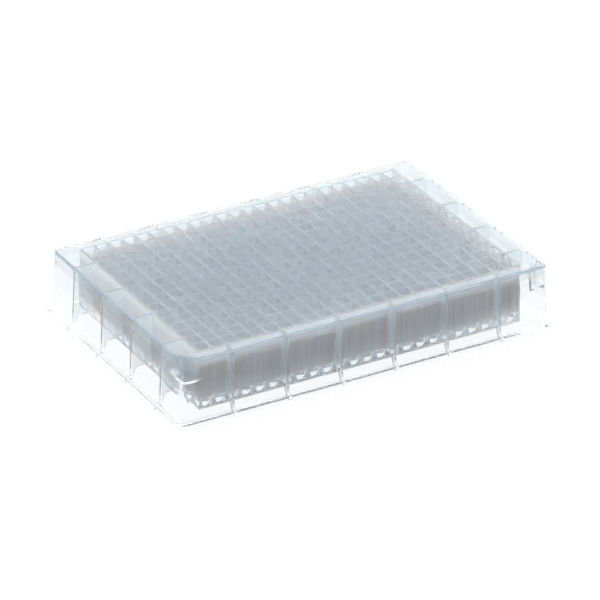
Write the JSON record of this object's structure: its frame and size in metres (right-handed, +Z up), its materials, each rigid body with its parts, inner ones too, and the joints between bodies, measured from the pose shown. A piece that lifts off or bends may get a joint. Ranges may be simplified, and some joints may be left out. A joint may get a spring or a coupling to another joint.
{
  "type": "well plate",
  "caption": "Clear deep-well plate with a grid of square tapered wells, a drafted skirt on a flange lip and two keyed corners, for storing and handling small liquid samples.",
  "frame": {"origin": "centre of the plate's footprint, on the surface that it stands on", "axes": "+X along the rows from column 1 to column 24, +Y from row P to row A, +Z up, out of the wells' mouths; the keyed corners are at -Y"},
  "size_m": [0.1278, 0.0854, 0.021],
  "materials": {
    "clear_polypropylene": "clear natural polypropylene, gloss"
  },
  "bodies": {
    "root": {"well_plate": "clear_polypropylene"}
  },
  "joints": []
}
